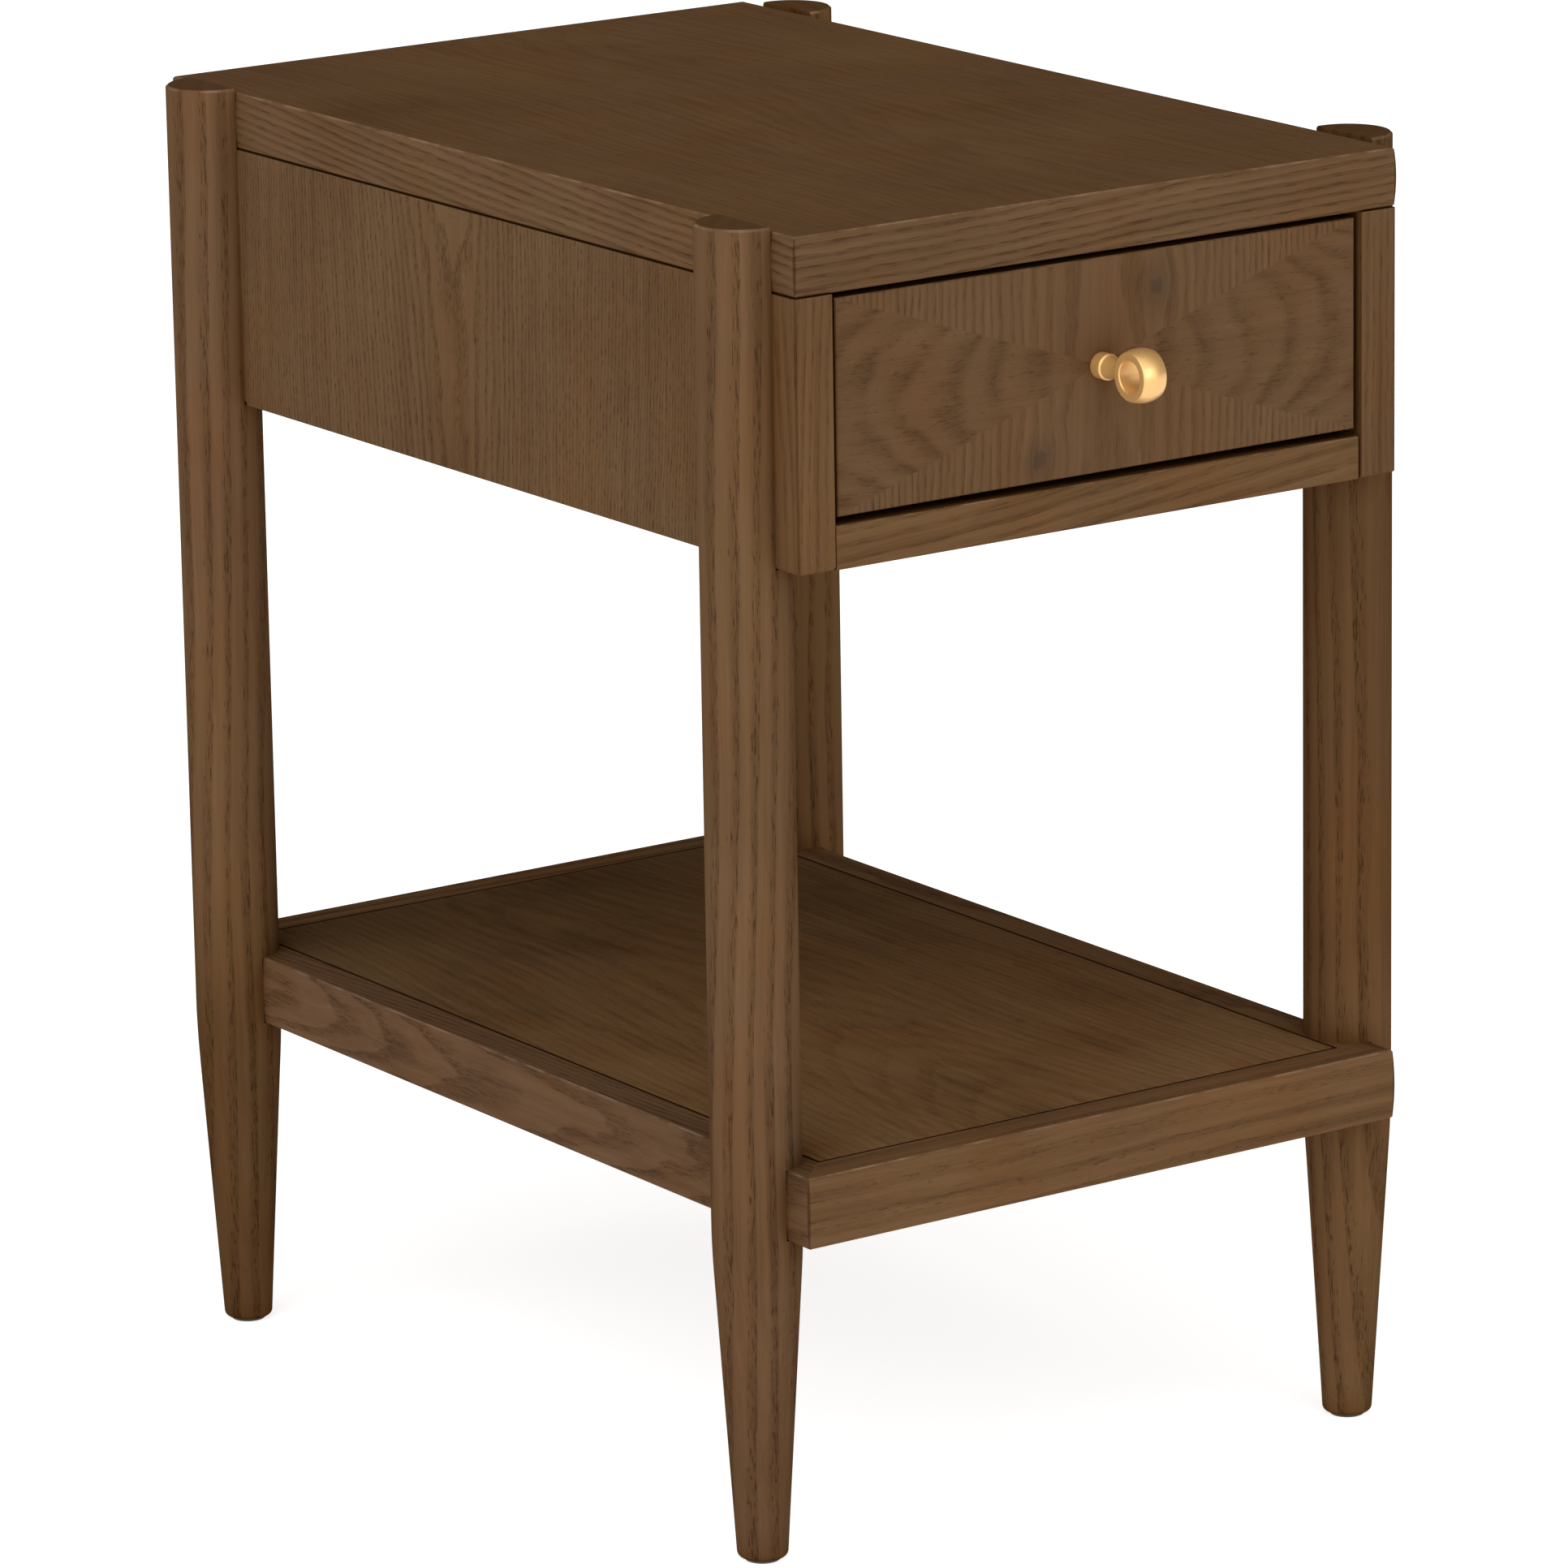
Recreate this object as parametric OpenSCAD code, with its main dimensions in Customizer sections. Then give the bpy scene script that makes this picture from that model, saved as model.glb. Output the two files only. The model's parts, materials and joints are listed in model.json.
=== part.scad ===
// Side table with one drawer and a lower shelf: round legs stand outside the case and the shelf.
// Millimetres, +Z up. The drawer opens towards -Y. The origin is on the floor, midway between
// the legs and midway between the front of the knob and the back of the table.

/* [Overall] */
// Height from the floor to the tops of the legs
total_h = 650; // [600:1:720]
// Width of the top, the case and the shelf, side face to side face
case_w = 352; // [340:1:480]
// Depth of the top, the case and the shelf, front to back
case_d = 549; // [549:1:640]

/* [Top] */
// Thickness of the finished top
top_t = 28.5; // [24:0.5:36]
// Thickness of the veneer over the top
veneer_t = 1; // [0.8:0.1:1.5]
// Width of the solid wood edging round the top
edging_w = 8; // [5:0.5:12]
// How far the edges of the top and the shelf bow outwards at mid thickness
edge_crown = 0.8; // [0.2:0.1:1.2]
// Small bevel along the top and bottom corners of those edges
edge_bevel = 0.8; // [0.4:0.1:1.2]
// Shadow gap between the case and the top
reveal = 0.5; // [0.3:0.1:1.5]
// How far the legs stand above the top
leg_rise = 2; // [1:0.5:4]

/* [Case] */
// Height of the case from its bottom edge to the shadow gap
case_h = 130.5; // [125:0.5:150]
// Width of a corner post, seen from the front
post_w = 21; // [19:0.5:24]
// Depth of a corner post, seen from the side
post_d = 64; // [62:1:70]
// Small bevel along the front edges of the drawer front and of the rail under it
front_bevel = 0.6; // [0.3:0.1:0.8]
// Radius of the rounded bottom edges of a post
post_round = 3; // [1:0.5:4]
// Thickness of the side panels
side_t = 18; // [16:0.5:19]
// Thickness of the back panel
back_t = 15; // [9:0.5:18]
// Height of the rail under the drawer
rail_h = 21; // [18:0.5:24]
// Depth of the rail under the drawer, front to back
rail_d = 45; // [40:1:50]
// Thickness of the rails and cleats under the top
cleat_t = 16.5; // [15:0.5:18]
// Thickness of the case bottom
bottom_t = 9; // [6:0.5:12]

/* [Legs] */
// Radius of a leg above the taper
leg_r = 21.8; // [20:0.1:24]
// Radius of a leg at the floor
foot_r = 12.4; // [11:0.1:16]
// Distance from the front or back of the case to a leg's axis
leg_inset = 40; // [34:0.5:42]
// Distance of a leg's axis outside the side face
leg_out = 2; // [1:0.5:4]

/* [Shelf] */
// Height of the shelf's upper surface above the floor
shelf_z = 198.4; // [180:0.1:240]
// Thickness of the shelf frame
shelf_t = 35; // [30:0.5:40]
// Width of the frame seen round the shelf panel
frame_w = 20; // [18:0.5:26]
// Width of the groove between the frame and the panel
groove_w = 1.4; // [1:0.1:2]
// Thickness of the shelf panel
shelf_panel_t = 15; // [12:0.5:18]

/* [Drawer] */
// Gap between the drawer front and each post
gap_side = 3; // [2:0.1:4]
// Gap between the drawer front and the top
gap_top = 3; // [2:0.1:4]
// Gap between the drawer front and the rail below it
gap_bottom = 4; // [3:0.1:5]
// How far the drawer front sits behind the faces of the posts
front_setback = 2; // [1:0.5:3]
// Thickness of the drawer front without its veneer
front_t = 18; // [16:0.5:19]
// Thickness of the drawer box boards
box_t = 12; // [10:0.5:14]
// Height of the drawer box
box_h = 84; // [78:1:86]
// Thickness of the drawer bottom
tray_t = 6; // [4:0.5:8]
// Number of dovetails in each front corner
tails = 4; // [3:1:5]

/* [Slides] */
// Length of the ball bearing slides
slide_l = 450; // [400:10:450]
// Height of the outer slide member
slide_h = 45; // [45:1:46]
// Thickness of the closed slide
slide_t = 12.7; // [12.7:0.1:13]

/* [Knob] */
// Distance of the ring's axis from the face of the drawer front
ring_out = 31; // [28:0.5:36]
// Largest radius of the ring
ring_r = 13; // [12:0.1:15]
// Radius of the finger hole in the ring
ring_hole_r = 7.8; // [7:0.1:9]
// Length of the ring along its axis
ring_l = 13.4; // [11:0.1:16]
// Radius of the foot of the knob
knob_foot_r = 6.4; // [5.5:0.1:8]

/* [Hidden] */

oak = [0.42, 0.31, 0.21];
oak_inside = [0.72, 0.60, 0.44];
board = [0.62, 0.50, 0.36];
steel = [0.72, 0.73, 0.75];
brass = [0.86, 0.68, 0.40];
felt = [0.25, 0.22, 0.20];

LEFT = -1;
RIGHT = 1;
FRONT = -1;
BACK = 1;
CORNERS = [for (side = [LEFT, RIGHT]) for (end = [FRONT, BACK]) [side, end]];
fine = 96;   // facets of legs and other large rounds
round_fn = 48;   // facets of screws, dowels and bolts
cut = 1;   // how far a cutting solid runs past a face

// main planes
half_w = case_w / 2;
knob_reach = ring_out + ring_r - front_setback;
mid_y = knob_reach / 2;
front_y = mid_y - case_d / 2;
back_y = mid_y + case_d / 2;
top_z = total_h - leg_rise;
slab_z = top_z - top_t;
case_top_z = slab_z - reveal;
case_z = case_top_z - case_h;
post_x = half_w - post_w;   // inner face of a post
panel_x = half_w - side_t;   // inner face of a side panel
panel_y0 = front_y + post_d;
panel_y1 = back_y - post_d;
back_inset = 2;   // back panel behind the faces of the posts
back_panel_y = back_y - back_inset - back_t;   // inner face of the back panel

// legs
leg_x = half_w + leg_out;
leg_top_bevel = 1.2;
foot_round = 3;
taper_z = shelf_z - shelf_t - 5;   // height at which the taper starts
glide_r = 9;
glide_t = 3;
glide_drop = 1.5;   // how far a glide stands below the wood

function leg_y(end) = mid_y + end * (case_d / 2 - leg_inset);

// drawer
veneer_y = front_y + front_setback;
face_y = veneer_y + veneer_t;
box_y = face_y + front_t;
box_l = slide_l;
drawer_x = post_x - gap_side;
drawer_z0 = case_z + rail_h + gap_bottom;
drawer_z1 = slab_z - gap_top;
knob_z = (drawer_z0 + drawer_z1) / 2;
box_z = case_z + rail_h + 4.5;   // underside of the drawer box
tray_z = box_z + 8;   // underside of the drawer bottom
tray_groove = 6;   // how far the bottom enters the boards
rail_setback = 1;
rail_end_gap = 1.2;   // shadow line at each end of the rail
rail_end_depth = 3;

// slides
slide_clear = 2.5;   // slide behind the inner faces of the posts
slide_x = post_x - slide_clear;   // outer face of the slide
box_x = slide_x - slide_t;   // outer face of the drawer box
slide_y = box_y + 1;
slide_z = box_z + box_h / 2;
sheet = 1.2;   // steel sheet of the slide members
ball_d = 2.9;
cage_y = slide_y + slide_l / 4 + 5;
cage_l = slide_l / 2 - 10;
ball_pitch = 24;
case_screw_at = [80, 200, 380];   // places of the screws along a slide
drawer_screw_at = [35, 200, 380];

// shelf
shelf_bottom = shelf_z - shelf_t;
tongue_t = 5;
tongue_l = 7;
tongue_z = shelf_z - 12;

// fasteners
bolt_r = 3;
bolt_head_r = 6;
bolt_head_t = 4;
bolt_end_x = half_w + 14;
post_bolt_z = [case_z + 34, case_z + 104];
shelf_bolt_z = shelf_bottom + 10;
dowel_r = 4;
dowel_l = 30;
small_dowel_r = 3;
dowel_in_post = 12;

// ---- outlines and shared shapes ----

// half width of a bowed edge at height z of a board h thick
function crown_x(w, h, z) = w / 2 - edge_crown * pow(2 * z / h - 1, 2);

module crown_profile(w, h) {
    steps = 8;
    zs = [for (i = [0:steps]) edge_bevel + (h - 2 * edge_bevel) * i / steps];
    right = [for (z = zs) [crown_x(w, h, z), z]];
    left = [for (i = [steps:-1:0]) [-crown_x(w, h, zs[i]), zs[i]]];
    inner = crown_x(w, h, 0) - edge_bevel;
    polygon(concat([[-inner, 0], [inner, 0]], right, [[inner, h], [-inner, h]], left));
}

// board with bowed edges all round, on z = 0, centred on the case
module crowned_board(w, d, h) {
    translate([0, mid_y, 0])
        intersection() {
            translate([0, d / 2, 0])
                rotate([90, 0, 0])
                    linear_extrude(d)
                        crown_profile(w, h);
            translate([-w / 2, 0, 0])
                rotate([90, 0, 90])
                    linear_extrude(w)
                        crown_profile(d, h);
        }
}

// plan of a mitred frame member: end 0 front, 1 right, 2 back, 3 left
module mitre_plan(w, d, band, member) {
    x = w / 2;
    y = d / 2;
    out = [[-x, -y], [x, -y], [x, y], [-x, y]];
    inn = [[-x + band, -y + band], [x - band, -y + band], [x - band, y - band], [-x + band, y - band]];
    next = (member + 1) % 4;
    translate([0, mid_y])
        polygon([out[member], out[next], inn[next], inn[member]]);
}

module box_between(low, high) {
    translate(low)
        cube(high - low);
}

// A beam along X whose two long front edges are bevelled.
module bevelled_beam(low, high) {
    translate([low[0], 0, 0])
        rotate([90, 0, 90])
            linear_extrude(high[0] - low[0])
                polygon([[low[1] + front_bevel, low[2]], [high[1], low[2]], [high[1], high[2]],
                    [low[1] + front_bevel, high[2]], [low[1], high[2] - front_bevel],
                    [low[1], low[2] + front_bevel]]);
}

// A board across the front whose four front edges are bevelled.
module bevelled_front_board(low, high) {
    intersection() {
        bevelled_beam(low, high);
        translate([0, 0, low[2]])
            linear_extrude(high[2] - low[2])
                polygon([[low[0] + front_bevel, low[1]], [high[0] - front_bevel, low[1]],
                    [high[0], low[1] + front_bevel], [high[0], high[1]], [low[0], high[1]],
                    [low[0], low[1] + front_bevel]]);
    }
}

module turned(radius, length) {
    rotate([0, 90, 0])
        cylinder(r = radius, h = length, $fn = round_fn);
}

module along_y(radius, length) {
    rotate([-90, 0, 0])
        cylinder(r = radius, h = length, $fn = round_fn);
}

// ---- top ----

module slab() {
    translate([0, 0, slab_z])
        crowned_board(case_w, case_d, top_t);
}

module top_edging(member) {
    color(oak)
        intersection() {
            slab();
            translate([0, 0, slab_z])
                linear_extrude(top_t - veneer_t)
                    mitre_plan(case_w, case_d, edging_w, member);
        }
}

module tabletop_panel() {
    color(board)
        difference() {
            box_between([-half_w + edging_w, front_y + edging_w, slab_z],
                [half_w - edging_w, back_y - edging_w, top_z - veneer_t]);
            top_screw_set();
        }
}

module tabletop_veneer() {
    color(oak)
        intersection() {
            slab();
            box_between([-half_w - cut, front_y - cut, top_z - veneer_t],
                [half_w + cut, back_y + cut, top_z + cut]);
        }
}

// ---- legs ----

module leg_profile() {
    arc_steps = 6;
    blend = 14;   // length over which the taper runs into the straight part
    slope = (leg_r - foot_r) / taper_z;
    round_part = [for (i = [0:arc_steps])
        let (a = -90 + 90 * i / arc_steps)
        [foot_r - foot_round + foot_round * cos(a), glide_drop + foot_round + foot_round * sin(a)]];
    blend_part = [for (i = [0:arc_steps])
        let (t = i / arc_steps, z = taper_z - blend + 2 * blend * t)
        [leg_r - slope * blend * pow(1 - t, 2), z]];
    polygon(concat([[0, glide_drop]], round_part, blend_part,
        [[leg_r, total_h - leg_top_bevel], [leg_r - leg_top_bevel, total_h], [0, total_h]]));
}

module leg(side, end) {
    y = leg_y(end);
    inner = half_w - 2 * leg_r;
    color(oak)
        difference() {
            translate([side * leg_x, y, 0])
                rotate_extrude($fn = fine)
                    leg_profile();
            mirror([side == LEFT ? 1 : 0, 0, 0]) {
                box_between([inner, y - leg_r - cut, case_z], [half_w, y + leg_r + cut, total_h + cut]);
                box_between([inner, y - leg_r - cut, shelf_bottom], [half_w, y + leg_r + cut, shelf_z]);
            }
            translate([side * leg_x, y, 0])
                cylinder(r = glide_r, h = glide_t, $fn = round_fn);
            leg_bolt_set();
        }
}

module leg_glides() {
    glide_bevel = 0.6;
    color(felt)
        for (c = CORNERS)
            translate([c[0] * leg_x, leg_y(c[1]), 0])
                rotate_extrude($fn = round_fn)
                    polygon([[0, 0], [glide_r - glide_bevel, 0], [glide_r, glide_bevel],
                        [glide_r, glide_t], [0, glide_t]]);
}

// ---- case ----

// post with its outer bottom edges rounded, in the right front corner
module post_blank() {
    corner = 1.5;   // radius of the upright outer corner
    x0 = post_x;
    h = case_top_z - case_z;
    translate([x0, front_y, case_z])
        intersection() {
            linear_extrude(h)
                union() {
                    square([post_w - corner, post_d]);
                    translate([0, corner])
                        square([post_w, post_d - corner]);
                    translate([post_w - corner, corner])
                        circle(r = corner, $fn = round_fn);
                }
            translate([0, post_d, 0])
                rotate([90, 0, 0])
                    linear_extrude(post_d)
                        union() {
                            square([post_w - post_round, h]);
                            translate([0, post_round])
                                square([post_w, h - post_round]);
                            translate([post_w - post_round, post_round])
                                circle(r = post_round, $fn = round_fn);
                        }
            rotate([90, 0, 90])
                linear_extrude(post_w)
                    union() {
                        translate([post_round, 0])
                            square([post_d - post_round, h]);
                        translate([0, post_round])
                            square([post_d, h - post_round]);
                        translate([post_round, post_round])
                            circle(r = post_round, $fn = round_fn);
                    }
        }
}

module post(side, end) {
    color(oak)
        difference() {
            translate([0, end == BACK ? 2 * mid_y : 0, 0])
                mirror([0, end == BACK ? 1 : 0, 0])
                    mirror([side == LEFT ? 1 : 0, 0, 0])
                        post_blank();
            leg_bolt_set();
            case_dowel_set();
        }
}

module side_panel(side) {
    color(oak)
        difference() {
            mirror([side == LEFT ? 1 : 0, 0, 0])
                box_between([panel_x, panel_y0, case_z], [half_w, panel_y1, case_top_z]);
            case_dowel_set();
            slide_case_screw_set();
        }
}

module back_panel() {
    color(oak)
        difference() {
            box_between([-post_x, back_panel_y, case_z], [post_x, back_y - back_inset, case_top_z]);
            case_dowel_set();
        }
}

module drawer_rail() {
    y = front_y + rail_setback;
    color(oak)
        difference() {
            bevelled_beam([-post_x, y, case_z], [post_x, y + rail_d, case_z + rail_h]);
            for (side = [LEFT, RIGHT])
                mirror([side == LEFT ? 1 : 0, 0, 0])
                    box_between([post_x - rail_end_gap, y - cut, case_z - cut],
                        [post_x + cut, y + rail_end_depth, case_z + rail_h + cut]);
            case_dowel_set();
        }
}

top_rail_d = 40;
top_rail_z = slab_z - cleat_t;
top_rail_y0 = box_y + 1.5;
top_rail_y1 = back_panel_y - top_rail_d;
cleat_w = 18;

module top_rail(y) {
    color(oak_inside)
        difference() {
            box_between([-post_x, y, top_rail_z], [post_x, y + top_rail_d, slab_z]);
            case_dowel_set();
            top_screw_set();
        }
}

module top_cleat(side) {
    color(oak_inside)
        difference() {
            mirror([side == LEFT ? 1 : 0, 0, 0])
                box_between([panel_x - cleat_w, panel_y0, top_rail_z], [panel_x, panel_y1, slab_z]);
            top_screw_set();
        }
}

module case_bottom() {
    z0 = case_z + 4;
    rail_back_y = front_y + rail_setback + rail_d;
    color(board)
        union() {
            box_between([-post_x, rail_back_y, z0], [post_x, back_panel_y, z0 + bottom_t]);
            box_between([-panel_x, panel_y0, z0], [panel_x, panel_y1, z0 + bottom_t]);
        }
}

module slide_spacer(side) {
    color(oak_inside)
        difference() {
            mirror([side == LEFT ? 1 : 0, 0, 0])
                box_between([slide_x, panel_y0, slide_z - slide_h / 2],
                    [panel_x, panel_y1, slide_z + slide_h / 2]);
            slide_case_screw_set();
        }
}

// ---- shelf ----

module shelf_panel_solid() {
    x = half_w - frame_w - groove_w;
    y0 = front_y + frame_w + groove_w;
    y1 = back_y - frame_w - groove_w;
    reach = groove_w + tongue_l;
    union() {
        box_between([-x, y0, shelf_z - shelf_panel_t], [x, y1, shelf_z]);
        box_between([-x - reach, y0 - reach, tongue_z], [x + reach, y1 + reach, tongue_z + tongue_t]);
    }
}

module shelf_rail(member) {
    color(oak)
        difference() {
            intersection() {
                translate([0, 0, shelf_bottom])
                    crowned_board(case_w, case_d, shelf_t);
                translate([0, 0, shelf_bottom])
                    linear_extrude(shelf_t)
                        mitre_plan(case_w, case_d, frame_w, member);
            }
            shelf_panel_solid();
            leg_bolt_set();
        }
}

module shelf_panel() {
    color(oak)
        shelf_panel_solid();
}

// ---- fasteners of the table ----

module leg_bolt(x, y, z) {
    translate([x, y, z]) {
        turned(bolt_head_r, bolt_head_t);
        turned(bolt_r, bolt_end_x - x);
    }
}

module leg_bolt_set() {
    for (c = CORNERS)
        mirror([c[0] == LEFT ? 1 : 0, 0, 0]) {
            for (z = post_bolt_z)
                leg_bolt(post_x, leg_y(c[1]), z);
            leg_bolt(half_w - frame_w - bolt_head_t, leg_y(c[1]), shelf_bolt_z);
        }
}

module leg_bolts() {
    color(steel)
        leg_bolt_set();
}

top_screw_points = concat(
    [for (x = [-100, 100]) for (y = [top_rail_y0, top_rail_y1]) [x, y + top_rail_d / 2]],
    [for (side = [LEFT, RIGHT]) for (dy = [-110, 110]) [side * (panel_x - cleat_w / 2), mid_y + dy]]);

module top_screw_set() {
    head_r = 4.5;
    head_t = 2;
    shank_r = 2;
    shank_l = cleat_t + 14;
    for (p = top_screw_points)
        translate([p[0], p[1], top_rail_z]) {
            cylinder(r = head_r, h = head_t, $fn = round_fn);
            cylinder(r = shank_r, h = shank_l, $fn = round_fn);
        }
}

module tabletop_screws() {
    color(steel)
        top_screw_set();
}

rail_dowel_y = [front_y + rail_setback + 12, front_y + rail_setback + 34];
top_dowel_y = [10, 30];
panel_dowel_z = [case_z + 22, case_z + 64, case_z + 108];

module case_dowel_set() {
    for (side = [LEFT, RIGHT])
        mirror([side == LEFT ? 1 : 0, 0, 0]) {
            for (y = rail_dowel_y)
                translate([post_x + dowel_in_post - dowel_l, y, case_z + rail_h / 2])
                    turned(dowel_r, dowel_l);
            for (y = [top_rail_y0, top_rail_y1])
                for (dy = top_dowel_y)
                    translate([post_x + dowel_in_post - dowel_l, y + dy, slab_z - cleat_t / 2])
                        turned(dowel_r, dowel_l);
            for (z = panel_dowel_z) {
                translate([post_x + dowel_in_post - dowel_l, back_panel_y + back_t / 2, z])
                    turned(small_dowel_r, dowel_l);
                for (y = [panel_y0, panel_y1])
                    translate([half_w - side_t / 2, y - dowel_l / 2, z])
                        along_y(small_dowel_r, dowel_l);
            }
        }
}

module case_dowels() {
    color(oak_inside)
        case_dowel_set();
}

// ---- drawer slides, drawn on the right: u runs inwards from the case ----

module slide_section(points) {
    translate([slide_x, slide_y, slide_z])
        rotate([-90, 0, 0])
            linear_extrude(slide_l)
                polygon([for (p = points) [-p[0], p[1]]]);
}

// channel open towards one side, with short lips: u0 back of the web, u1 tips, v outer half height
module channel(u0, u1, v, lip) {
    w = u0 < u1 ? sheet : -sheet;
    slide_section([[u0, -v], [u1, -v], [u1, -v + sheet + lip], [u1 - w, -v + sheet + lip],
        [u1 - w, -v + sheet], [u0 + w, -v + sheet], [u0 + w, v - sheet], [u1 - w, v - sheet],
        [u1 - w, v - sheet - lip], [u1, v - sheet - lip], [u1, v], [u0, v]]);
}

race_gap = ball_d + 0.2;   // between the running faces that a row of balls fills
case_v = slide_h / 2;
middle_v = case_v - sheet - race_gap;
drawer_v = middle_v - sheet - race_gap;
middle_u = 2.6;   // back of the middle member's web
middle_tip_u = 10.4;
drawer_tip_u = 5.2;

module slide_case(side) {
    tip = 9.2;
    color(steel)
        mirror([side == LEFT ? 1 : 0, 0, 0])
            difference() {
                channel(0, tip, case_v, 1.6);
                slide_case_screws_right();
            }
}

module slide_middle(side) {
    color(steel)
        mirror([side == LEFT ? 1 : 0, 0, 0])
            channel(middle_u, middle_tip_u, middle_v, 0.9);
}

module slide_drawer(side) {
    color(steel)
        mirror([side == LEFT ? 1 : 0, 0, 0])
            difference() {
                channel(slide_t, drawer_tip_u, drawer_v, 0);
                slide_drawer_screws_right();
            }
}

// strip with two rows of balls: web at u, flanges reach the balls at ball_u
module ball_cage(side, web_u, ball_u, v) {
    strip = 0.6;
    reach = 1.9;
    balls = floor((cage_l - 12) / ball_pitch);
    color(steel)
        mirror([side == LEFT ? 1 : 0, 0, 0])
            union() {
                translate([slide_x, cage_y, slide_z])
                    rotate([-90, 0, 0])
                        linear_extrude(cage_l)
                            polygon([for (p = [[web_u, -v - strip / 2], [ball_u + reach, -v - strip / 2],
                                [ball_u + reach, -v + strip / 2], [web_u + strip, -v + strip / 2],
                                [web_u + strip, v - strip / 2], [ball_u + reach, v - strip / 2],
                                [ball_u + reach, v + strip / 2], [web_u, v + strip / 2]]) [-p[0], p[1]]]);
                for (row = [-1, 1])
                    for (i = [0:balls])
                        translate([slide_x - ball_u, cage_y + 6 + i * ball_pitch, slide_z + row * v])
                            sphere(d = ball_d, $fn = 24);
            }
}

outer_ball_v = middle_v + race_gap / 2;
inner_ball_v = drawer_v + race_gap / 2;

module ball_cage_outer(side) {
    ball_cage(side, 1.6, 5.4, outer_ball_v);
}

module ball_cage_inner(side) {
    ball_cage(side, 4.2, 7, inner_ball_v);
}

slide_screw_head_r = 3.6;
slide_screw_r = 1.75;

module slide_case_screws_right() {
    screw_l = 17;
    for (dy = case_screw_at)
        translate([slide_x - sheet, slide_y + dy, slide_z]) {
            turned(slide_screw_head_r, sheet);
            turned(slide_screw_r, screw_l);
        }
}

module slide_case_screw_set() {
    for (side = [LEFT, RIGHT])
        mirror([side == LEFT ? 1 : 0, 0, 0])
            slide_case_screws_right();
}

module slide_case_screws() {
    color(steel)
        slide_case_screw_set();
}

module slide_drawer_screws_right() {
    screw_l = 11;
    for (dy = drawer_screw_at)
        translate([box_x - screw_l + sheet, slide_y + dy, slide_z]) {
            turned(slide_screw_r, screw_l);
            translate([screw_l - sheet, 0, 0])
                turned(slide_screw_head_r, sheet);
        }
}

module slide_drawer_screw_set() {
    for (side = [LEFT, RIGHT])
        mirror([side == LEFT ? 1 : 0, 0, 0])
            slide_drawer_screws_right();
}

module slide_drawer_screws() {
    color(steel)
        slide_drawer_screw_set();
}

// ---- drawer ----

module drawer_front() {
    color(oak)
        difference() {
            box_between([-drawer_x, face_y, drawer_z0], [drawer_x, box_y, drawer_z1]);
            drawer_front_screw_set();
            knob_screw_solid();
        }
}

module drawer_front_veneer() {
    color(oak)
        difference() {
            bevelled_front_board([-drawer_x, veneer_y, drawer_z0], [drawer_x, face_y, drawer_z1]);
            knob_screw_solid();
        }
}

// dovetails of one front corner, on the right: they widen towards the front
module tail_set() {
    pitch = box_h / tails;
    neck = pitch * 0.5;
    flare = box_t / 6;
    for (i = [0:tails - 1])
        translate([box_x - box_t, box_y, box_z + pitch * (i + 0.5)])
            rotate([90, 0, 90])
                linear_extrude(box_t)
                    polygon([[0, -neck / 2 - flare], [box_t, -neck / 2], [box_t, neck / 2],
                        [0, neck / 2 + flare]]);
}

module both_tail_sets() {
    for (side = [LEFT, RIGHT])
        mirror([side == LEFT ? 1 : 0, 0, 0])
            tail_set();
}

module tray_solid() {
    x = box_x - box_t + tray_groove;
    y0 = box_y + box_t - tray_groove;
    y1 = box_y + box_l - box_t + tray_groove;
    box_between([-x, y0, tray_z], [x, y1, tray_z + tray_t]);
}

module drawer_box_front() {
    color(oak_inside)
        difference() {
            box_between([-box_x, box_y, box_z], [box_x, box_y + box_t, box_z + box_h]);
            both_tail_sets();
            tray_solid();
            drawer_front_screw_set();
            knob_screw_solid();
        }
}

module drawer_side(side) {
    color(oak_inside)
        mirror([side == LEFT ? 1 : 0, 0, 0])
            difference() {
                union() {
                    box_between([box_x - box_t, box_y + box_t, box_z], [box_x, box_y + box_l, box_z + box_h]);
                    tail_set();
                }
                tray_solid();
                slide_drawer_screws_right();
            }
}

module drawer_back() {
    x = box_x - box_t;
    y = box_y + box_l;
    color(oak_inside)
        difference() {
            box_between([-x, y - box_t, box_z], [x, y, box_z + box_h]);
            tray_solid();
        }
}

module drawer_bottom() {
    color(board)
        tray_solid();
}

module drawer_front_screw_set() {
    head_r = 4;
    head_t = 2;
    shank_r = 2;
    shank_l = box_t + 13;
    for (x = [-95, 95])
        for (z = [box_z + 26, box_z + 68])
            translate([x, box_y + box_t, z])
                rotate([90, 0, 0]) {
                    translate([0, 0, -head_t])
                        cylinder(r = head_r, h = head_t, $fn = round_fn);
                    cylinder(r = shank_r, h = shank_l, $fn = round_fn);
                }
}

module drawer_front_screws() {
    color(steel)
        drawer_front_screw_set();
}

knob_screw_in = 5;   // how far the screw enters the knob

module knob_screw_solid() {
    head_r = 4.2;
    head_t = 2.4;
    shank_r = 2;
    translate([0, box_y + box_t, knob_z])
        rotate([90, 0, 0]) {
            translate([0, 0, -head_t])
                cylinder(r = head_r, h = head_t, $fn = round_fn);
            cylinder(r = shank_r, h = box_t + front_t + veneer_t + knob_screw_in, $fn = round_fn);
        }
}

module knob_screw() {
    color(steel)
        knob_screw_solid();
}

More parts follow.
